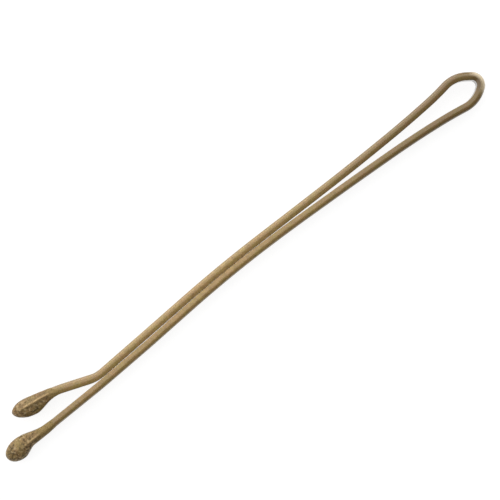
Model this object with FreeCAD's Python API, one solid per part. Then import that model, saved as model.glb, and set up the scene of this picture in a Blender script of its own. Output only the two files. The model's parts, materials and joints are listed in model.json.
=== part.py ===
import FreeCAD, Part
import math
import os

# A smooth bobby pin that lies on its side.
# One flat spring wire with full round edges runs from the straight tip along the straight leg,
# round the teardrop loop and back along the flared leg. Each wire end is dipped in a resin drop.
# X runs along the pin towards the loop, Y is the way the legs open, towards the flared leg,
# and Z is up, across the wire's width. The pin rests on its two drops at Z zero.

# Finished pin, from the straight tip's nose to the outside of the loop
pin_length = 50.8

# Flat spring wire
wire_thickness = 0.71
wire_width = 1.3

# The two legs and the seam line between them, which is bowed towards the flared leg
leg_gap = 0.03
bow_height = 0.69
straight_end_droop = 0.13
grip_bend_radius = 60.0

# Teardrop loop: radii of the wire's centre line, and the slope of its sides behind the nose
eye_width = 1.75
nose_radius = 0.77
nose_slope = 35.5
shoulder_radius = 2.55

# Flared end of the flared leg, seen from its bend to the wire's end
flare_angle = 20.3
flare_run = 4.02
flare_bend_radius = 3.4
lip_angle = 7.7
lip_run = 2.645
lip_bend_radius = 11.0

# Resin drops on the wire ends. The inner side faces the other leg. Each side stands out from
# the wire's centre line by its height at its belly and has thinned to the sleeve at its neck,
# both placed back from the nose. The nose leans towards the inner side.
end_cover = 0.96
sleeve = 0.045
drop_half_width = 0.95
straight_drop_length = 5.15
straight_drop_lean = 0.16
straight_drop_inner_height = 1.05
straight_drop_inner_belly = 1.44
straight_drop_inner_neck = 4.11
straight_drop_outer_height = 0.775
straight_drop_outer_belly = 1.24
straight_drop_outer_neck = 2.51
flared_drop_length = 4.7
flared_drop_lean = -0.06
flared_drop_inner_height = 1.005
flared_drop_inner_belly = 1.87
flared_drop_inner_neck = 4.6
flared_drop_outer_height = 0.685
flared_drop_outer_belly = 1.19
flared_drop_outer_neck = 4.6

# Corners of both legs: place along the pin, height of the seam and spread of the legs,
# as shares of the pin's length, of the bow and of the loop's inside width
leg_corner_shares = (
    (0.196, -0.05, 0.0),
    (0.3, 0.31, 0.017),
    (0.43, 0.86, 0.003),
    (0.515, 1.0, 0.0),
    (0.6, 0.9, 0.017),
    (0.73, 0.65, 0.153),
    (0.844, 0.485, 0.397),
    (0.92, 0.355, 0.753),
)
shoulder_shares = (0.29, 1.2)
nose_bow_share = 0.17
corner_run_share = 0.5
shortest_run_share = 0.0001

# Places of a drop's cross sections: how far each dome section closes, as an angle in degrees,
# and where each neck section lies, as a share of the neck. The nose is a small flat, as wide as
# the dome is at its share of the way to the belly. A dome is blunt and a neck thins quickly
# with a high power.
nose_flat_share = 0.04
dome_angles = (60.0, 43.0, 27.0, 13.0, 0.0)
neck_place_shares = (0.12, 0.24, 0.36, 0.48, 0.6, 0.72, 0.84, 1.0)
straight_dome_power = 2.0
flared_dome_power = 1.85
straight_neck_power = 2
flared_neck_power = 3


def seam_point(along, bow_share, spread_share, side):
    """A point of a leg's centre line: side is -1 for the straight leg and 1 for the flared one."""
    spread = (eye_width - leg_gap) * spread_share
    across = (wire_thickness + leg_gap + spread) / 2
    return (along, bow_height * bow_share + side * across)


def step_from(point, heading, distance):
    """The point at a distance from another one, with the heading in radians from the X axis."""
    return (point[0] + distance * math.cos(heading), point[1] + distance * math.sin(heading))


def nose_corner():
    """Where the loop's two sides would meet past its nose."""
    nose_centre = pin_length - wire_thickness / 2 - nose_radius
    beyond = nose_radius / math.sin(math.radians(nose_slope))
    return (nose_centre + beyond, bow_height * nose_bow_share)


def leg_corners(side):
    """Corners of one leg, from the gripping bend to the shoulder of the loop."""
    corners = []
    for along_share, bow_share, spread_share in leg_corner_shares:
        corners.append(seam_point(pin_length * along_share, bow_share, spread_share, side))
    nose_along, nose_height = nose_corner()
    shoulder_height = seam_point(pin_length, shoulder_shares[0], shoulder_shares[1], side)[1]
    behind_nose = abs(shoulder_height - nose_height) / math.tan(math.radians(nose_slope))
    corners.append((nose_along - behind_nose, shoulder_height))
    return corners


def wire_corners():
    """Corners of the whole wire, from the straight tip to the flared one, with the radius of each
    bend. A bend with no radius of its own is as large as its two runs allow."""
    straight = leg_corners(-1)
    flared = leg_corners(1)
    bend = flared[0]
    lip = step_from(bend, math.pi - math.radians(flare_angle), flare_run)
    wire_end = step_from(lip, math.pi - math.radians(lip_angle), lip_run)
    corners = [((end_cover, straight[0][1] - straight_end_droop), 0)]
    corners += [(straight[0], grip_bend_radius), (straight[1], grip_bend_radius)]
    corners += [(point, None) for point in straight[2:-1]]
    corners += [(straight[-1], shoulder_radius), (nose_corner(), nose_radius)]
    corners += [(flared[-1], shoulder_radius)]
    corners += [(point, None) for point in flared[-2:1:-1]]
    corners += [(flared[1], grip_bend_radius), (bend, flare_bend_radius)]
    corners += [(lip, lip_bend_radius), (wire_end, 0)]
    return corners


def corner_reaches(radii, turns, runs):
    """How far each bend reaches from its corner along its two runs. Two bends with radii of their
    own share a run that is too short for both, and the free bends take what is left of theirs."""
    reaches = []
    for radius, turn in zip(radii, turns):
        reaches.append(None if radius is None else radius * math.tan(abs(turn) / 2))
    for i, run in enumerate(runs):
        if None not in reaches[i:i + 2] and sum(reaches[i:i + 2]) > run:
            fitted = run / sum(reaches[i:i + 2])
            reaches[i] *= fitted
            reaches[i + 1] *= fitted
    for i in range(1, len(runs)):
        if radii[i] is None:
            room = []
            for run, neighbour in ((runs[i - 1], i - 1), (runs[i], i + 1)):
                free = radii[neighbour] is None
                room.append(run * corner_run_share if free else run - reaches[neighbour])
            reaches[i] = min(room)
    return reaches


def route_pieces(corners):
    """Straight runs and tangent bends through the corners, each as place, heading, length and turn."""
    points = [point for point, radius in corners]
    radii = [radius for point, radius in corners]
    runs = []
    headings = []
    for here, there in zip(points, points[1:]):
        runs.append(math.dist(here, there))
        headings.append(math.atan2(there[1] - here[1], there[0] - here[0]))
    turns = [0.0]
    for before, after in zip(headings, headings[1:]):
        turns.append(math.remainder(after - before, 2 * math.pi))
    turns.append(0.0)
    reaches = corner_reaches(radii, turns, runs)
    pieces = []
    place = points[0]
    for i in range(1, len(points) - 1):
        bend_start = step_from(points[i], headings[i - 1], -reaches[i])
        run = math.dist(place, bend_start)
        if run > wire_thickness * shortest_run_share:
            pieces.append((place, headings[i - 1], run, 0.0))
        bend_length = reaches[i] * abs(turns[i]) / math.tan(abs(turns[i]) / 2)
        pieces.append((bend_start, headings[i - 1], bend_length, turns[i]))
        place = step_from(points[i], headings[i], reaches[i])
    pieces.append((place, headings[-1], math.dist(place, points[-1]), 0.0))
    return pieces


def along_piece(piece, distance):
    """Place and heading at a distance along one run or bend."""
    place, heading, length, turn = piece
    if turn == 0:
        return step_from(place, heading, distance), heading
    bend = turn / length
    there = heading + bend * distance
    x_there = place[0] + (math.sin(there) - math.sin(heading)) / bend
    y_there = place[1] - (math.cos(there) - math.cos(heading)) / bend
    return (x_there, y_there), there


def along_route(pieces, distance):
    """Place and heading at a distance along a route, which runs on straight past both its ends."""
    for piece in pieces[:-1]:
        if distance <= piece[2]:
            break
        distance -= piece[2]
    else:
        piece = pieces[-1]
    inside = min(max(distance, 0), piece[2])
    point, heading = along_piece(piece, inside)
    return step_from(point, heading, distance - inside), heading


def route_length(pieces):
    return sum(piece[2] for piece in pieces)


def stadium(point, heading, half_thickness, half_width):
    """Cross section of two flats and two full round edges, square to the heading."""
    across = FreeCAD.Vector(-math.sin(heading), math.cos(heading), 0) * half_thickness
    up = FreeCAD.Vector(0, 0, 1)
    centre = FreeCAD.Vector(point[0], point[1], 0)
    flat = up * (half_width - half_thickness)
    edge = up * half_width
    lower_left = centre + across - flat
    lower_right = centre - across - flat
    upper_right = centre - across + flat
    upper_left = centre + across + flat
    return Part.Wire([
        Part.Arc(lower_left, centre - edge, lower_right).toShape(),
        Part.LineSegment(lower_right, upper_right).toShape(),
        Part.Arc(upper_right, centre + edge, upper_left).toShape(),
        Part.LineSegment(upper_left, lower_left).toShape(),
    ])


def bent_wire(pieces):
    """The wire's solid along straight runs and bends, with its section square to them."""
    edges = []
    for piece in pieces:
        start = along_piece(piece, 0)[0]
        middle = along_piece(piece, piece[2] / 2)[0]
        end = along_piece(piece, piece[2])[0]
        points = [FreeCAD.Vector(x, y, 0) for x, y in (start, middle, end)]
        if piece[3] == 0:
            edges.append(Part.LineSegment(points[0], points[2]).toShape())
        else:
            edges.append(Part.Arc(*points).toShape())
    section = stadium(pieces[0][0], pieces[0][1], wire_thickness / 2, wire_width / 2)
    return Part.Wire(edges).makePipe(Part.Face(section))


def fade(share, power):
    """Falls smoothly from 1 at the belly to 0 at the end of the neck, quicker with a higher power."""
    return (1 - share) ** power * (1 + power * share)


def side_height(from_nose, lean, side, dome_power, neck_power):
    """How far one side of a drop, given by its height, belly and neck, stands out from the
    wire's centre line. It is a dome as far as the belly, and a neck behind it."""
    height, belly, neck = side
    if from_nose < belly:
        closing = 1 - from_nose / belly
        return lean + (height - lean) * (1 - closing ** dome_power) ** (1 / dome_power)
    bare = wire_thickness / 2 + sleeve
    share = min((from_nose - belly) / (neck - belly), 1)
    return bare + (height - bare) * fade(share, neck_power)


def resin_drop(frame_at, length, lean, inner, outer, dome_power, neck_power):
    """A drop round a wire end, lofted from its nose to the end of its sleeve.
    frame_at gives place and heading at a distance from the wire's end, back along the wire."""
    belly = (inner[1] + outer[1]) / 2
    places = [belly * (1 - math.sin(math.radians(angle))) for angle in dome_angles]
    places += [belly + (length - belly) * share for share in neck_place_shares]
    sections = []
    for from_nose in [belly * nose_flat_share] + places:
        inner_height = side_height(from_nose, lean, inner, dome_power, neck_power)
        outer_height = side_height(from_nose, -lean, outer, dome_power, neck_power)
        sections.append(((inner_height - outer_height) / 2, (inner_height + outer_height) / 2))
    fullest = max(thickness for shift, thickness in sections)
    bare_thickness = wire_thickness / 2 + sleeve
    bare_width = wire_width / 2 + sleeve
    wires = []
    for from_nose, (shift, thickness) in zip([0.0] + places, sections):
        if from_nose < belly:
            width = drop_half_width * thickness / fullest
        else:
            swell = (thickness - bare_thickness) / (fullest - bare_thickness)
            width = bare_width + (drop_half_width - bare_width) * swell
        (x, y), heading = frame_at(from_nose - end_cover)
        point = (x - math.sin(heading) * shift, y + math.cos(heading) * shift)
        wires.append(stadium(point, heading, thickness, width))
    return Part.makeLoft(wires, True, False)


def split_at_loop(pieces):
    """The routes of the straight leg, the loop and the flared leg. The loop is the nose's bend
    with a shoulder's bend on each side of it."""
    bends = [i for i, piece in enumerate(pieces) if piece[3] != 0]
    straight_shoulder = bends[len(leg_corner_shares)]
    flared_shoulder = bends[len(leg_corner_shares) + 2]
    return {
        "straight_leg": pieces[:straight_shoulder],
        "spring_loop": pieces[straight_shoulder:flared_shoulder + 1],
        "flared_leg": pieces[flared_shoulder + 1:],
    }


def build(routes):
    """All solids of the pin by name."""
    solids = {name: bent_wire(route) for name, route in routes.items()}
    straight_drop = resin_drop(
        lambda distance: along_route(routes["straight_leg"], distance),
        straight_drop_length, straight_drop_lean,
        (straight_drop_inner_height, straight_drop_inner_belly, straight_drop_inner_neck),
        (straight_drop_outer_height, straight_drop_outer_belly, straight_drop_outer_neck),
        straight_dome_power, straight_neck_power)
    flared_length = route_length(routes["flared_leg"])
    flared_drop = resin_drop(
        lambda distance: along_route(routes["flared_leg"], flared_length - distance),
        flared_drop_length, flared_drop_lean,
        (flared_drop_inner_height, flared_drop_inner_belly, flared_drop_inner_neck),
        (flared_drop_outer_height, flared_drop_outer_belly, flared_drop_outer_neck),
        flared_dome_power, flared_neck_power)
    solids["straight_tip"] = straight_drop.cut(solids["straight_leg"]).Solids[0]
    solids["flared_tip"] = flared_drop.cut(solids["flared_leg"]).Solids[0]
    return solids


routes = split_at_loop(route_pieces(wire_corners()))
solids = build(routes)
box = Part.Compound(list(solids.values())).optimalBoundingBox(False)
to_origin = FreeCAD.Vector(-box.Center.x, -box.Center.y, -box.ZMin)
os.makedirs("parts", exist_ok=True)
for name, solid in solids.items():
    solid.translate(to_origin)
    solid.exportStep("parts/" + name + ".step")
    print(name, solid.ShapeType, "valid", solid.isValid(), "volume", round(solid.Volume, 4))
section_area = math.pi * wire_thickness ** 2 / 4 + wire_thickness * (wire_width - wire_thickness)
for name, route in routes.items():
    print(name, "section times length", round(section_area * route_length(route), 4))
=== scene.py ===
import json
import math
from collections import namedtuple

import bpy
import numpy as np
from mathutils import Matrix, Vector, noise

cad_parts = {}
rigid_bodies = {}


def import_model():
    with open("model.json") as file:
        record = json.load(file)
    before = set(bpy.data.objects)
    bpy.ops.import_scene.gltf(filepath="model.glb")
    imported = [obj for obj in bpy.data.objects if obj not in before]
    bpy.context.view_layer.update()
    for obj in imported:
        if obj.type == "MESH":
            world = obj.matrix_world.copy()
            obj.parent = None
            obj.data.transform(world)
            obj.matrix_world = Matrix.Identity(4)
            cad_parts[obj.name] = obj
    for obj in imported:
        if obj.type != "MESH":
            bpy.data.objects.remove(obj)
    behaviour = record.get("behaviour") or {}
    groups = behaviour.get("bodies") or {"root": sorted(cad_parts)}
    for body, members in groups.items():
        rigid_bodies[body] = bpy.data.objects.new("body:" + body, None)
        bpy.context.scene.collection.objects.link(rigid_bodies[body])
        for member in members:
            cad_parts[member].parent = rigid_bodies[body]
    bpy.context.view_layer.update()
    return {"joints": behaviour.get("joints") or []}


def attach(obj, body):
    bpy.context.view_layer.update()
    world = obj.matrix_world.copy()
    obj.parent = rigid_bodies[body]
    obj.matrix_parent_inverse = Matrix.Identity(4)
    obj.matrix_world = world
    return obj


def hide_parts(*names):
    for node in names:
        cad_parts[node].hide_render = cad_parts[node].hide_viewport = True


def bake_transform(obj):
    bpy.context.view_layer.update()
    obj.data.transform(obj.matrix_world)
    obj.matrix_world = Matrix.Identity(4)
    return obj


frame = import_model()

# All sizes are in metres. The wire's route and the drops follow the model's own driving sizes.
# Here the legs lie closer together, the flare starts a little nearer to the loop, and the drops
# differ by up to 0.02 mm. The legs' gap is below zero because the lacquer's skin, which lies
# inside the bare wire's surface, opens it again by more.
pin_length = 0.0508
wire_thickness = 0.00071
wire_width = 0.0013
inner_crown = 0.00075
inner_corner = 0.00004
leg_gap = -0.000004
bow_height = 0.00069
straight_end_droop = 0.00013
grip_bend_radius = 0.06
eye_width = 0.00175
nose_radius = 0.00077
nose_slope = 35.5
shoulder_radius = 0.00255
flare_lead = 0.00008
flare_angle = 20.3
flare_run = 0.00402
flare_bend_radius = 0.0034
lip_angle = 7.7
lip_run = 0.002645
lip_bend_radius = 0.011

# Corners of the legs, as shares: how far along the pin, up the bow and open towards the eye
leg_corner_shares = (
    (0.196, -0.05, 0.0),
    (0.3, 0.31, 0.018),
    (0.43, 0.86, 0.0),
    (0.515, 1.0, 0.0),
    (0.6, 0.9, 0.017),
    (0.73, 0.65, 0.153),
    (0.844, 0.485, 0.397),
    (0.92, 0.355, 0.753),
)
shoulder_bow_share = 0.29
shoulder_spread_share = 1.2
nose_bow_share = 0.17
corner_run_share = 0.5
shortest_run_share = 0.0001

# Drops of resin on the wire ends. Each side, inner or outer, has its height from the wire's
# centre line, and its belly and its neck, placed back from the nose.
end_cover = 0.00096
drop_half_width = 0.00095
straight_drop = {
    "length": 0.00515, "lean": 0.00016, "dome_power": 2.0, "neck_power": 2,
    "inner": (0.00103, 0.00144, 0.00411), "outer": (0.00077, 0.00124, 0.00251),
    "ridge_end": 0.0013, "ridge_shift": 0.00002, "painted_shade_side": -1, "back_painted_shade": 0.4, "rough_end": 0.0036,
}
flared_drop = {
    "length": 0.0047, "lean": -0.00006, "dome_power": 1.85, "neck_power": 3,
    "inner": (0.00099, 0.00187, 0.0046), "outer": (0.00068, 0.00119, 0.0046),
    "ridge_end": 0.0004, "ridge_shift": -0.00002, "painted_shade_side": 1, "back_painted_shade": 1.2, "rough_end": 0.0024,
}
round_crown_share = 1.05
round_corner_share = 0.5
swollen_share = 0.25
sleeve = 0.00005
tuck = 0.00001
sleeve_end = 0.0012
sleeve_power = 2

# The low ridge over each drop, with a painted highlight along it and painted shade on both sides of
# it, and the rough grain at the nose and on one side. Shares are of the ridge's half width.
ridge_height = 0.00008
ridge_half_width = 0.00011
ridge_fade = 0.0012
painted_shade_place_share = 1.8
back_painted_shade_spread_share = 2.2
rough_reach_share = 3.0
rough_fade = 0.0018

# How finely the meshes are divided
wire_step = 0.00012
bend_step_angle = 3.0
wire_ring_steps = (5, 8, 11, 4)
drop_ring_steps = (14, 28, 38, 4)
dome_steps = 60
neck_step = 0.00003

# Unevenness of the lacquer and grain of the resin, all of it inwards. The grain is weaker where
# the resin is a thin sleeve.
lacquer_skin = 0.0000055
lacquer_depth = 0.000002
lacquer_scale = 600.0
grain_depths_and_scales = ((0.00002, 3200.0), (0.000015, 7500.0), (0.000008, 15000.0))
sleeve_grain_share = 0.15

# A painted highlight on the outside of the loop's nose and painted shade on its inside, both centred
# a little towards the straight leg. Shares are of the way in from the wire's outer side.
nose_paint_shift = -0.0003
nose_paint_half_length = 0.0009
nose_paint_edge_power = 4
painted_highlight_end_share = 0.625
painted_highlight_fade_share = 0.45

# A thicker film of lacquer on the outer side of the flare, from its bend to the wire's end
film_depth = 0.00005
film_fade = 0.0006

# Tone and gloss of the lacquer. Its tone is painted light and shade: palest at one place along the
# legs, deeper away from it. A noise has its scale, its detail and the values that become 0 and 1,
# an amount goes from its first value to its second one, and a colour is written in 0 to 255.
lacquer_painted_light_place = -0.005
lacquer_painted_light_reach = 0.003
lacquer_painted_shade_reach = 0.028
lacquer_painted_lit_hues = ((180, 153, 88), (186, 149, 96))
lacquer_painted_shaded_hues = ((132, 112, 61), (138, 107, 70))
lacquer_cloud_colour = (126, 102, 56)
lacquer_dust_colour = (108, 86, 46)
lacquer_painted_shade_colour = (104, 80, 40)
lacquer_painted_highlight_colour = (248, 228, 192)
lacquer_hue_noise = (1500.0, 2.0, 0.35, 0.65)
lacquer_cloud_noise = (2600.0, 3.0, 0.35, 0.65)
lacquer_dust_noise = (9000.0, 3.0, 0.4, 0.65)
lacquer_cloud_amount = (0.0, 0.4)
lacquer_dust_amount = (0.0, 0.2)
lacquer_roughness = (0.4, 0.52)
lacquer_bump = {"Strength": 0.12, "Distance": 0.00001}
lacquer_gloss = {
    "Metallic": 0.15, "Specular IOR Level": 0.1,
    "Coat Weight": 1.0, "Coat Roughness": 0.18, "Coat IOR": 1.6,
}

# Tone and gloss of the resin, written in the same way
resin_hues = ((154, 130, 77), (160, 125, 82))
resin_blot_colour = (104, 88, 46)
resin_painted_shade_colour = (86, 70, 38)
resin_thin_colour = (153, 128, 74)
resin_dark_colour = (70, 58, 30)
resin_pale_colour = (202, 178, 134)
resin_painted_highlight_colour = (206, 174, 124)
resin_hue_noise = (1700.0, 2.0, 0.35, 0.65)
resin_blot_noise = (3400.0, 2.0, 0.46, 0.6)
resin_dark_noise = (5000.0, 2.0, 0.48, 0.64)
resin_pale_noise = (4600.0, 2.0, 0.52, 0.68)
resin_blot_amount = (0.0, 0.45)
resin_painted_shade_amount = (0.0, 0.5)
resin_dark_amount = (0.25, 0.8)
resin_pale_amount = (0.1, 0.7)
resin_painted_highlight_amount = (0.0, 0.55)
resin_roughness = (0.42, 0.62)
resin_bump = {"Strength": 0.4, "Distance": 0.00003}
resin_gloss = {"Metallic": 0.2}

# The photographed view: the camera looks straight down, turned about the vertical
view_turn = 38.2
view_centre = (0.00128, 0.00009)
view_width = 0.04174
lens = 120.0

# A large key light beyond the flared leg, a lower one beneath it, and a box past the nose. Each
# has its direction in degrees, its distance, its width and height, and its power.
soft_boxes = {
    "key": {"azimuth": 98.0, "elevation": 46.0, "distance": 0.2, "size": (0.42, 0.42), "power": 0.67},
    "low": {"azimuth": 92.0, "elevation": 13.0, "distance": 0.4, "size": (0.5, 0.16), "power": 0.41},
    "side": {"azimuth": 14.0, "elevation": 26.0, "distance": 0.4, "size": (0.4, 0.32), "power": 0.4},
}
room_light = 0.155
white = (1.0, 1.0, 1.0, 1.0)
floor_grey = (0.25, 0.25, 0.25, 1.0)
floor_glow = 0.88
floor_half_size = 1.0

RoutePiece = namedtuple("RoutePiece", "place heading length turn")


def seam_point(along, bow_share, spread_share, side):
    """A point of a leg's centre line: side is -1 for the straight leg and 1 for the flared one."""
    spread = (eye_width - leg_gap) * spread_share
    across = (wire_thickness + leg_gap + spread) / 2
    return (along, bow_height * bow_share + side * across)


def step_from(point, heading, distance):
    """The point at a distance from another one, with the heading in radians from the X axis."""
    return (point[0] + distance * math.cos(heading), point[1] + distance * math.sin(heading))


def nose_corner():
    """Where the loop's two sides would meet past its nose."""
    nose_centre = pin_length - wire_thickness / 2 - nose_radius
    beyond = nose_radius / math.sin(math.radians(nose_slope))
    return (nose_centre + beyond, bow_height * nose_bow_share)


def leg_corners(side):
    """Corners of one leg, from the gripping bend to the shoulder of the loop."""
    corners = []
    for along_share, bow_share, spread_share in leg_corner_shares:
        corners.append(seam_point(pin_length * along_share, bow_share, spread_share, side))
    nose_along, nose_height = nose_corner()
    shoulder_height = seam_point(pin_length, shoulder_bow_share, shoulder_spread_share, side)[1]
    behind_nose = abs(shoulder_height - nose_height) / math.tan(math.radians(nose_slope))
    corners.append((nose_along - behind_nose, shoulder_height))
    return corners


def wire_corners():
    """Corners of the whole wire, from the straight tip to the flared one, with the radius of each
    bend. A bend with no radius of its own is as large as its two runs allow."""
    straight = leg_corners(-1)
    flared = leg_corners(1)
    leg_slope = math.atan2(flared[1][1] - flared[0][1], flared[1][0] - flared[0][0])
    bend = step_from(flared[0], leg_slope, flare_lead)
    lip = step_from(bend, math.pi - math.radians(flare_angle), flare_run + flare_lead)
    wire_end = step_from(lip, math.pi - math.radians(lip_angle), lip_run)
    corners = [((end_cover, straight[0][1] - straight_end_droop), 0)]
    corners += [(straight[0], grip_bend_radius), (straight[1], grip_bend_radius)]
    corners += [(point, None) for point in straight[2:-1]]
    corners += [(straight[-1], shoulder_radius), (nose_corner(), nose_radius)]
    corners += [(flared[-1], shoulder_radius)]
    corners += [(point, None) for point in flared[-2:1:-1]]
    corners += [(flared[1], grip_bend_radius), (bend, flare_bend_radius)]
    corners += [(lip, lip_bend_radius), (wire_end, 0)]
    return corners


def corner_reaches(radii, turns, runs):
    """How far each bend reaches from its corner along its two runs."""
    reaches = []
    for radius, turn in zip(radii, turns):
        reaches.append(None if radius is None else radius * math.tan(abs(turn) / 2))
    for i in range(1, len(runs)):
        if radii[i] is None:
            room = []
            for run, neighbour in ((runs[i - 1], i - 1), (runs[i], i + 1)):
                free = radii[neighbour] is None
                room.append(run * corner_run_share if free else run - reaches[neighbour])
            reaches[i] = min(room)
    return reaches


def route_pieces(corners):
    """Straight runs and tangent bends through the corners."""
    points = [point for point, radius in corners]
    radii = [radius for point, radius in corners]
    runs = []
    headings = []
    for here, there in zip(points, points[1:]):
        runs.append(math.dist(here, there))
        headings.append(math.atan2(there[1] - here[1], there[0] - here[0]))
    turns = [0.0]
    for before, after in zip(headings, headings[1:]):
        turns.append(math.remainder(after - before, 2 * math.pi))
    turns.append(0.0)
    reaches = corner_reaches(radii, turns, runs)
    pieces = []
    place = points[0]
    for i in range(1, len(points) - 1):
        bend_start = step_from(points[i], headings[i - 1], -reaches[i])
        run = math.dist(place, bend_start)
        if run > wire_thickness * shortest_run_share:
            pieces.append(RoutePiece(place, headings[i - 1], run, 0.0))
        bend_length = reaches[i] * abs(turns[i]) / math.tan(abs(turns[i]) / 2)
        pieces.append(RoutePiece(bend_start, headings[i - 1], bend_length, turns[i]))
        place = step_from(points[i], headings[i], reaches[i])
    pieces.append(RoutePiece(place, headings[-1], math.dist(place, points[-1]), 0.0))
    return pieces


def along_piece(piece, distance):
    """Place and heading at a distance along one run or bend."""
    place, heading, length, turn = piece
    if turn == 0:
        return step_from(place, heading, distance), heading
    bend = turn / length
    there = heading + bend * distance
    x_there = place[0] + (math.sin(there) - math.sin(heading)) / bend
    y_there = place[1] - (math.cos(there) - math.cos(heading)) / bend
    return (x_there, y_there), there


def along_route(pieces, distance):
    """Place and heading at a distance along a route, which runs on straight past both its ends."""
    for piece in pieces[:-1]:
        if distance <= piece.length:
            break
        distance -= piece.length
    else:
        piece = pieces[-1]
    inside = min(max(distance, 0), piece.length)
    point, heading = along_piece(piece, inside)
    return step_from(point, heading, distance - inside), heading


def route_length(pieces):
    return sum(piece.length for piece in pieces)


def split_at_loop(pieces):
    """The routes of the straight leg, the loop and the flared leg. The loop is the nose's bend
    with a shoulder's bend on each side of it."""
    bends = [i for i, piece in enumerate(pieces) if piece.turn != 0]
    straight_shoulder = bends[len(leg_corner_shares)]
    flared_shoulder = bends[len(leg_corner_shares) + 2]
    return {
        "straight_leg": pieces[:straight_shoulder],
        "spring_loop": pieces[straight_shoulder:flared_shoulder + 1],
        "flared_leg": pieces[flared_shoulder + 1:],
    }


def stations(pieces):
    """Distances along a route, close enough together for smooth bends."""
    found = [0.0]
    for piece in pieces:
        by_length = math.ceil(piece.length / wire_step)
        by_angle = math.ceil(math.degrees(abs(piece.turn)) / bend_step_angle)
        steps = max(by_length, by_angle)
        start = found[-1]
        found += [start + piece.length * (i + 1) / steps for i in range(steps)]
    return found


def section_ring(half_thickness, half_width, crown, corner, steps):
    """Offsets across and up round a section with two flats. Each edge is full round on its outer
    half, and on its inner half a flatter crown with a small corner, given by their radii."""
    corner_steps, crown_steps, round_steps, flat_steps = steps
    tilt = math.asin((half_thickness - corner) / (crown - corner))
    corner_across = half_thickness - corner
    inner_flat = half_width - crown + (crown - corner) * math.cos(tilt)
    outer_flat = half_width - half_thickness
    edge = []
    for i in range(corner_steps):
        angle = (math.pi / 2 - tilt) * i / corner_steps
        edge.append((corner_across + corner * math.cos(angle), inner_flat + corner * math.sin(angle)))
    for i in range(crown_steps):
        angle = tilt * (1 - i / crown_steps)
        edge.append((crown * math.sin(angle), half_width - crown + crown * math.cos(angle)))
    for i in range(round_steps + 1):
        angle = math.pi / 2 * i / round_steps
        edge.append((-half_thickness * math.sin(angle), outer_flat + half_thickness * math.cos(angle)))
    flat_shares = [2 * i / flat_steps - 1 for i in range(1, flat_steps)]
    ring = [(half_thickness, inner_flat * share) for share in flat_shares] + edge
    ring += [(-half_thickness, -outer_flat * share) for share in flat_shares]
    ring += [(across, -up) for across, up in reversed(edge)]
    return np.array(ring)


def placed_ring(centre, heading, ring):
    """A section's points round a place on the wire, square to its heading."""
    across = np.array((-math.sin(heading), math.cos(heading), 0.0))
    up = np.array((0.0, 0.0, 1.0))
    return centre + ring[:, :1] * across + ring[:, 1:] * up


def sunk(points, centre, depths):
    """Points moved towards a centre, each by its own depth."""
    inwards = centre - points
    inwards /= np.linalg.norm(inwards, axis=1)[:, None]
    return points + inwards * depths[:, None]


def smooth_noise(points, scale):
    """Noise between 0 and 1 at each point."""
    return np.array([0.5 + 0.5 * noise.noise(Vector(point) * scale) for point in points])


def tube_mesh(name, rings, tags):
    """A closed mesh through rings of points, with flat ends that meet the sides at sharp edges.
    tags are named lists with one number for each point."""
    around = len(rings[0])
    points = np.concatenate(rings)
    faces = []
    for i in range(len(rings) - 1):
        for j in range(around):
            k = (j + 1) % around
            faces.append((i * around + j, i * around + k, (i + 1) * around + k, (i + 1) * around + j))
    last = (len(rings) - 1) * around
    faces.append(tuple(range(around - 1, -1, -1)))
    faces.append(tuple(range(last, last + around)))
    mesh = bpy.data.meshes.new(name)
    mesh.from_pydata(points.tolist(), [], faces)
    mesh.polygons.foreach_set("use_smooth", np.ones(len(faces), bool))
    for edge in mesh.edges:
        first, second = edge.vertices
        edge.use_edge_sharp = max(first, second) < around or min(first, second) >= last
    for tag, values in tags.items():
        attribute = mesh.attributes.new(tag, "FLOAT", "POINT")
        attribute.data.foreach_set("value", np.asarray(values, np.float32))
    mesh.validate()
    mesh.update()
    piece = bpy.data.objects.new(name, mesh)
    bpy.context.scene.collection.objects.link(piece)
    return piece


def between(first, second, share):
    return first + (second - first) * share


def ramp(value, reach):
    """Rises steadily from 0 to 1 over a reach, and stays there."""
    return min(max(value / reach, 0), 1)


def fade(share, power):
    """Falls smoothly from 1 to 0 as the share rises from 0 to 1, quicker with a higher power."""
    return (1 - share) ** power * (1 + power * share)


def wire_piece(name, pieces, shift, nose_paint_at=None, film_from=None):
    """One stretch of the lacquered wire, with the slight unevenness of its coat. Around one
    distance along it, its points are tagged for a painted highlight outside and painted shade
    inside. From another distance on, its outer side has a thicker film."""
    ring = section_ring(wire_thickness / 2, wire_width / 2, inner_crown, inner_corner, wire_ring_steps)
    inner_share = ring[:, 0] / wire_thickness + 1 / 2
    # How much of each point takes the painted highlight on the nose's outside; the rest takes painted shade
    painted_nose_highlight = ((painted_highlight_end_share - inner_share) / painted_highlight_fade_share).clip(0, 1)
    rings = []
    tags = {} if nose_paint_at is None else {"painted_nose_highlight": [], "painted_nose_shade": []}
    for distance in stations(pieces):
        point, heading = along_route(pieces, distance)
        centre = np.array((*point, 0.0)) + shift
        coated = ring.copy()
        if film_from is not None:
            coated[:, 0] -= film_depth * ramp(distance - film_from, film_fade) * (1 - inner_share)
        outer = placed_ring(centre, heading, coated)
        rings.append(sunk(outer, centre, lacquer_skin + lacquer_depth * smooth_noise(outer, lacquer_scale)))
        if nose_paint_at is not None:
            nearness = math.exp(-((distance - nose_paint_at) / nose_paint_half_length) ** nose_paint_edge_power)
            tags["painted_nose_highlight"] += (painted_nose_highlight * nearness).tolist()
            tags["painted_nose_shade"] += ((1 - painted_nose_highlight) * nearness).tolist()
    return tube_mesh(name, rings, tags)


def side_height(from_nose, lean, side, drop, bare):
    """How far one side of a drop stands out from the wire's centre line."""
    height, belly, neck = side
    if from_nose < belly:
        closing = 1 - from_nose / belly
        power = drop["dome_power"]
        return lean + (height - lean) * (1 - closing ** power) ** (1 / power)
    share = min((from_nose - belly) / (neck - belly), 1)
    return bare + (height - bare) * fade(share, drop["neck_power"])


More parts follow.
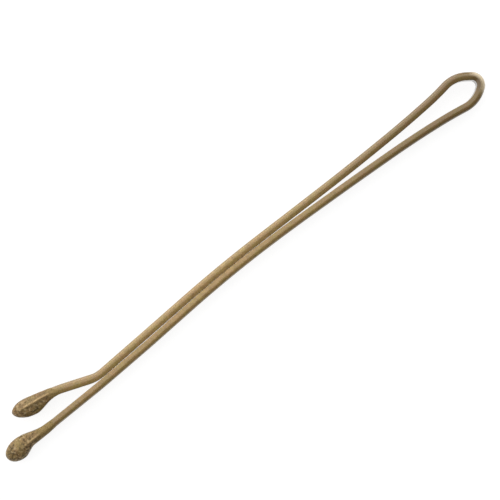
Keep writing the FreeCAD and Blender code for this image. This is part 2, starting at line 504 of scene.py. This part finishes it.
def drop_outline(from_nose, drop):
    """Shift to the inner side, half thickness and cover on the wire, at a distance from the nose."""
    left = min((drop["length"] - from_nose) / sleeve_end, 1)
    cover = sleeve * fade(1 - left, sleeve_power) - tuck * fade(left, sleeve_power)
    bare = wire_thickness / 2 + cover
    inner = side_height(from_nose, drop["lean"], drop["inner"], drop, bare)
    outer = side_height(from_nose, -drop["lean"], drop["outer"], drop, bare)
    return (inner - outer) / 2, (inner + outer) / 2, cover


def drop_sections(drop):
    """Sections from the nose to the end of the sleeve: distance from the nose, shift to the inner
    side, half thickness, half width, cover on the wire, and how far the drop has swollen."""
    belly = (drop["inner"][1] + drop["outer"][1]) / 2
    places = [belly * (1 - math.cos(math.pi / 2 * i / dome_steps)) for i in range(1, dome_steps)]
    neck_steps = math.ceil((drop["length"] - belly) / neck_step)
    places += [belly + (drop["length"] - belly) * i / neck_steps for i in range(neck_steps + 1)]
    outlines = [drop_outline(from_nose, drop) for from_nose in places]
    fullest = max(thickness for aside, thickness, cover in outlines)
    sections = []
    for from_nose, (aside, thickness, cover) in zip(places, outlines):
        if from_nose < belly:
            swell = 1
            width = drop_half_width * thickness / fullest
        else:
            bare = wire_thickness / 2 + cover
            swell = ramp(thickness - bare, fullest - bare)
            width = between(wire_width / 2 + cover, drop_half_width, swell)
        sections.append((from_nose, aside, thickness, max(width, thickness), cover, swell))
    return sections


def drop_ring(thickness, width, cover, swell):
    """A drop's section, as flat as the wire on its sleeve and round where it is swollen."""
    bare = wire_thickness / 2 + cover
    crown = thickness * between((inner_crown + cover) / bare, round_crown_share, swell)
    corner = thickness * between((inner_corner + cover) / bare, round_corner_share, swell)
    return section_ring(thickness, width, crown, corner, drop_ring_steps)


def drop_tags(across, crest, from_nose, swollen, drop):
    """How far a section's points are thin, on the ridge, in the painted shade beside it, and rough.
    across is measured from the wire's centre line, and crest is 1 at the drop's top and underside."""
    beside = (across - drop["ridge_shift"]) / ridge_half_width
    beyond = beside * drop["painted_shade_side"]
    behind = (beyond + painted_shade_place_share) / back_painted_shade_spread_share
    begun = ramp(from_nose - drop["ridge_end"], ridge_fade)
    ridge = np.exp(-beside ** 2) * crest * begun * swollen
    # Painted shade in bands on both sides of the ridge, the narrower one on the side away from the key
    # light
    painted_ridge_shade = np.exp(-(beyond - painted_shade_place_share) ** 2)
    painted_ridge_shade += drop["back_painted_shade"] * np.exp(-behind ** 2) * (1 - ridge)
    at_nose = ramp(drop["rough_end"] - from_nose, rough_fade)
    rough = at_nose + (1 - at_nose) * (beyond / rough_reach_share).clip(0, 1) * swollen
    thin = np.full(len(across), 1 - swollen)
    return {"thin": thin, "ridge": ridge, "painted_ridge_shade": painted_ridge_shade * crest * begun, "rough": rough}


def resin_piece(name, frame_at, drop, shift):
    """A dipped drop: a swollen, grainy coat that thins onto the wire, with a low ridge over it."""
    rings = []
    tags = {"thin": [], "ridge": [], "painted_ridge_shade": [], "rough": []}
    for from_nose, aside, thickness, width, cover, swell in drop_sections(drop):
        point, heading = frame_at(from_nose - end_cover)
        centre = np.array((*step_from(point, heading + math.pi / 2, aside), 0.0)) + shift
        ring = drop_ring(thickness, width, cover, swell)
        crest = (ring[:, 1] / width) ** 2
        swollen = min(swell / swollen_share, 1)
        found = drop_tags(ring[:, 0] + aside, crest, from_nose, swollen, drop)
        ring[:, 1] -= np.sign(ring[:, 1]) * ridge_height * swollen * (1 - found["ridge"]) * crest
        outer = placed_ring(centre, heading, ring)
        depths = sum(depth * smooth_noise(outer, scale) for depth, scale in grain_depths_and_scales)
        grown = between(sleeve_grain_share, 1, swell) * ramp(thickness, wire_thickness / 2)
        rings.append(sunk(outer, centre, depths * grown))
        for tag, values in found.items():
            tags[tag] += values.tolist()
    return tube_mesh(name, rings, tags)


def add_node(tree, kind, **settings):
    """A shader node whose settings and unlinked inputs are given by name."""
    node = tree.nodes.new(kind)
    for name, value in settings.items():
        if hasattr(node, name):
            setattr(node, name, value)
        else:
            node.inputs[name.replace("_", " ")].default_value = value
    return node


def srgb(red, green, blue):
    """A colour written in 0 to 255, as the shader wants it."""
    linear = []
    for value in (red, green, blue):
        share = value / 255
        linear.append(share / 12.92 if share <= 0.04045 else ((share + 0.055) / 1.055) ** 2.4)
    return (*linear, 1.0)


def noise_between(tree, place, scale, detail, low, high):
    """A noise texture's value, stretched so that low becomes 0 and high becomes 1."""
    texture = add_node(tree, "ShaderNodeTexNoise", Scale=scale, Detail=detail)
    tree.links.new(place, texture.inputs["Vector"])
    spread = add_node(tree, "ShaderNodeMapRange", From_Min=low, From_Max=high)
    tree.links.new(texture.outputs["Fac"], spread.inputs["Value"])
    return spread.outputs["Result"]


def mixed(tree, amount, first, second):
    """A colour between two, each written in 0 to 255 or another node's output."""
    mix = add_node(tree, "ShaderNodeMix", data_type="RGBA")
    tree.links.new(amount, mix.inputs["Factor"])
    for name, colour in (("A", first), ("B", second)):
        socket = next(s for s in mix.inputs if s.name == name and s.type == "RGBA")
        if isinstance(colour, tuple):
            socket.default_value = srgb(*colour)
        else:
            tree.links.new(colour, socket)
    return next(s for s in mix.outputs if s.type == "RGBA")


def scaled(tree, value, low, high):
    """A value of 0 to 1, turned into one of low to high."""
    node = add_node(tree, "ShaderNodeMath", operation="MULTIPLY_ADD")
    tree.links.new(value, node.inputs[0])
    node.inputs[1].default_value = high - low
    node.inputs[2].default_value = low
    return node.outputs[0]


def combined(tree, operation, first, second):
    """Two values put together by a node that multiplies them, or takes the larger one."""
    node = add_node(tree, "ShaderNodeMath", operation=operation)
    tree.links.new(first, node.inputs[0])
    tree.links.new(second, node.inputs[1])
    return node.outputs[0]


def tag_value(tree, tag):
    """A number that the mesh's points are tagged with."""
    return add_node(tree, "ShaderNodeAttribute", attribute_name=tag).outputs["Fac"]


def new_material(name):
    """A material, its tree, and the place on the object that its noises are read at."""
    material = bpy.data.materials.new(name)
    material.use_nodes = True
    tree = material.node_tree
    return material, tree, add_node(tree, "ShaderNodeTexCoord").outputs["Object"]


def finish_shader(tree, colour, roughness, relief, bump, gloss):
    """Gives the shader its colour, roughness and bump, and the values that are the same all over."""
    shader = tree.nodes["Principled BSDF"]
    raised = add_node(tree, "ShaderNodeBump", **bump)
    tree.links.new(relief, raised.inputs["Height"])
    tree.links.new(colour, shader.inputs["Base Color"])
    tree.links.new(roughness, shader.inputs["Roughness"])
    tree.links.new(raised.outputs["Normal"], shader.inputs["Normal"])
    for name, value in gloss.items():
        shader.inputs[name].default_value = value


def lacquer_material():
    """Bronze lacquer on spring wire: glossy, with painted light and shade, palest at one place on the legs
    and deeper towards the loop, painted shade and highlight on the loop's nose, faint clouds of hue and
    fine dust in the coat."""
    material, tree, place = new_material("bronze_lacquer")
    # Painted light and shade: the tone is palest near one place along the legs and deepens with distance
    # from it
    away = add_node(tree, "ShaderNodeVectorMath", operation="DISTANCE")
    tree.links.new(place, away.inputs[0])
    away.inputs[1].default_value = (lacquer_painted_light_place, 0, 0)
    painted_shade_share = add_node(
        tree, "ShaderNodeMapRange", interpolation_type="SMOOTHSTEP",
        From_Min=lacquer_painted_light_reach, From_Max=lacquer_painted_shade_reach)
    tree.links.new(away.outputs["Value"], painted_shade_share.inputs["Value"])
    hues = noise_between(tree, place, *lacquer_hue_noise)
    clouds = noise_between(tree, place, *lacquer_cloud_noise)
    dust = noise_between(tree, place, *lacquer_dust_noise)
    pale = mixed(tree, hues, *lacquer_painted_lit_hues)
    painted_shaded_tone = mixed(tree, hues, *lacquer_painted_shaded_hues)
    colour = mixed(tree, painted_shade_share.outputs["Result"], pale, painted_shaded_tone)
    colour = mixed(tree, scaled(tree, clouds, *lacquer_cloud_amount), colour, lacquer_cloud_colour)
    colour = mixed(tree, scaled(tree, dust, *lacquer_dust_amount), colour, lacquer_dust_colour)
    # Painted shade inside the loop's nose, and a painted highlight on its outside
    colour = mixed(tree, tag_value(tree, "painted_nose_shade"), colour, lacquer_painted_shade_colour)
    colour = mixed(tree, tag_value(tree, "painted_nose_highlight"), colour, lacquer_painted_highlight_colour)
    roughness = scaled(tree, dust, *lacquer_roughness)
    finish_shader(tree, colour, roughness, dust, lacquer_bump, lacquer_gloss)
    return material


def resin_material():
    """Bronze resin of the drops: grainy, with dark and pale specks, a painted highlight along the ridge and
    painted shade beside it.
    """
    material, tree, place = new_material("bronze_resin")
    hues = noise_between(tree, place, *resin_hue_noise)
    blots = noise_between(tree, place, *resin_blot_noise)
    dark_specks = noise_between(tree, place, *resin_dark_noise)
    pale_specks = noise_between(tree, place, *resin_pale_noise)
    thin, ridge, painted_ridge_shade, rough = (tag_value(tree, tag) for tag in ("thin", "ridge", "painted_ridge_shade", "rough"))
    dark = combined(tree, "MULTIPLY", dark_specks, scaled(tree, rough, *resin_dark_amount))
    pale = combined(tree, "MULTIPLY", pale_specks, scaled(tree, rough, *resin_pale_amount))
    colour = mixed(tree, hues, *resin_hues)
    colour = mixed(tree, scaled(tree, blots, *resin_blot_amount), colour, resin_blot_colour)
    # Painted shade beside the ridge
    colour = mixed(tree, scaled(tree, painted_ridge_shade, *resin_painted_shade_amount), colour, resin_painted_shade_colour)
    colour = mixed(tree, thin, colour, resin_thin_colour)
    colour = mixed(tree, dark, colour, resin_dark_colour)
    colour = mixed(tree, pale, colour, resin_pale_colour)
    # Painted highlight along the ridge
    colour = mixed(tree, scaled(tree, ridge, *resin_painted_highlight_amount), colour, resin_painted_highlight_colour)
    roughness = scaled(tree, dark_specks, *resin_roughness)
    finish_shader(tree, colour, roughness, dark_specks, resin_bump, resin_gloss)
    return material


def floor_material():
    """White to the camera and in reflections, and still shaded by the pin."""
    material = bpy.data.materials.new("white_floor")
    material.use_nodes = True
    tree = material.node_tree
    tree.nodes.clear()
    diffuse = add_node(tree, "ShaderNodeBsdfDiffuse", Color=floor_grey)
    glow = add_node(tree, "ShaderNodeEmission")
    path = add_node(tree, "ShaderNodeLightPath")
    seen = path.outputs["Is Camera Ray"]
    for name in ("Is Glossy Ray", "Is Transmission Ray"):
        seen = combined(tree, "MAXIMUM", seen, path.outputs[name])
    tree.links.new(scaled(tree, seen, 0.0, floor_glow), glow.inputs["Strength"])
    total = add_node(tree, "ShaderNodeAddShader")
    output = add_node(tree, "ShaderNodeOutputMaterial")
    tree.links.new(diffuse.outputs[0], total.inputs[0])
    tree.links.new(glow.outputs[0], total.inputs[1])
    tree.links.new(total.outputs[0], output.inputs["Surface"])
    return material


def make_floor():
    half = floor_half_size
    mesh = bpy.data.meshes.new("floor")
    corners = [(-half, -half, 0), (half, -half, 0), (half, half, 0), (-half, half, 0)]
    mesh.from_pydata(corners, [], [(0, 1, 2, 3)])
    floor = bpy.data.objects.new("floor", mesh)
    bpy.context.scene.collection.objects.link(floor)
    mesh.materials.append(floor_material())


def make_world():
    """A white room seen by the camera, and a soft even light for everything else."""
    world = bpy.data.worlds.new("studio")
    bpy.context.scene.world = world
    world.use_nodes = True
    tree = world.node_tree
    tree.nodes.clear()
    path = add_node(tree, "ShaderNodeLightPath")
    background = add_node(tree, "ShaderNodeBackground", Color=white)
    strength = scaled(tree, path.outputs["Is Camera Ray"], room_light, 1.0)
    tree.links.new(strength, background.inputs["Strength"])
    output = add_node(tree, "ShaderNodeOutputWorld")
    tree.links.new(background.outputs[0], output.inputs["Surface"])


def make_soft_box(name, box):
    """A soft box that faces the pin from its direction."""
    data = bpy.data.lights.new(name, "AREA")
    data.shape = "RECTANGLE"
    data.size, data.size_y = box["size"]
    data.energy = box["power"]
    light = bpy.data.objects.new(name, data)
    azimuth = math.radians(box["azimuth"])
    elevation = math.radians(box["elevation"])
    across = math.cos(elevation)
    from_pin = Vector((across * math.cos(azimuth), across * math.sin(azimuth), math.sin(elevation)))
    light.location = from_pin * box["distance"]
    light.rotation_mode = "QUATERNION"
    light.rotation_quaternion = from_pin.to_track_quat("Z", "Y")
    bpy.context.scene.collection.objects.link(light)


def make_camera(height):
    """Looks straight down at the pin, with the photographed turn and framing."""
    data = bpy.data.cameras.new("camera")
    data.lens = lens
    camera = bpy.data.objects.new("camera", data)
    bpy.context.scene.collection.objects.link(camera)
    distance = view_width * lens / data.sensor_width
    camera.location = (*view_centre, height + distance)
    camera.rotation_mode = "QUATERNION"
    camera.rotation_quaternion = Matrix.Rotation(-math.radians(view_turn), 3, "Z").to_quaternion()
    bpy.context.scene.camera = camera


def dress(piece, node, material):
    """A finished piece takes a node's place and finish."""
    piece.data.materials.append(material)
    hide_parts(node)
    return piece


def build_legs(routes, shift, lacquer, fixed, moving):
    """The two legs, each on its own side of the hinge. The flared one has the thicker film."""
    film_from = route_length(routes["flared_leg"]) - lip_run - flare_run - flare_lead
    straight_leg = wire_piece("straight_leg_wire", routes["straight_leg"], shift)
    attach(dress(straight_leg, "straight_leg", lacquer), fixed)
    flared_leg = wire_piece("flared_leg_wire", routes["flared_leg"], shift, film_from=film_from)
    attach(dress(flared_leg, "flared_leg", lacquer), moving)


def build_loop(routes, shift, lacquer):
    """The loop, which curves round from one leg's side to the other's."""
    nose_paint_at = route_length(routes["spring_loop"]) / 2 + nose_paint_shift
    loop = wire_piece("spring_loop_wire", routes["spring_loop"], shift, nose_paint_at=nose_paint_at)
    dress(loop, "spring_loop", lacquer)
    lower = along_route(routes["spring_loop"], 0)[0][1] + wire_thickness / 2 + shift[1]
    upper = along_route(routes["flared_leg"], 0)[0][1] - wire_thickness / 2 + shift[1]
    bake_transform(loop)


def build_drops(routes, shift, resin, fixed, moving):
    """The resin drops, each measured back from its own end of the wire."""
    flared_length = route_length(routes["flared_leg"])
    straight_tip = resin_piece(
        "straight_tip_resin", lambda distance: along_route(routes["straight_leg"], distance),
        straight_drop, shift)
    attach(dress(straight_tip, "straight_tip", resin), fixed)
    flared_tip = resin_piece(
        "flared_tip_resin", lambda distance: along_route(routes["flared_leg"], flared_length - distance),
        flared_drop, shift)
    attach(dress(flared_tip, "flared_tip", resin), moving)


def build_pin():
    """The whole pin, with the apex of its nose at the hinge. Gives the height of its middle."""
    hinge = frame["joints"][0]
    fixed, moving = hinge["parent"], hinge["child"]
    apex = np.array(hinge["pos_m"])
    shift = apex - np.array((pin_length - wire_thickness / 2, nose_corner()[1], 0.0))
    routes = split_at_loop(route_pieces(wire_corners()))
    lacquer = lacquer_material()
    build_legs(routes, shift, lacquer, fixed, moving)
    build_loop(routes, shift, lacquer)
    build_drops(routes, shift, resin_material(), fixed, moving)
    return apex[2]


bpy.context.scene.view_settings.view_transform = "Standard"
middle_height = build_pin()
make_floor()
make_world()
for box_name, box in soft_boxes.items():
    make_soft_box(box_name, box)
make_camera(middle_height)
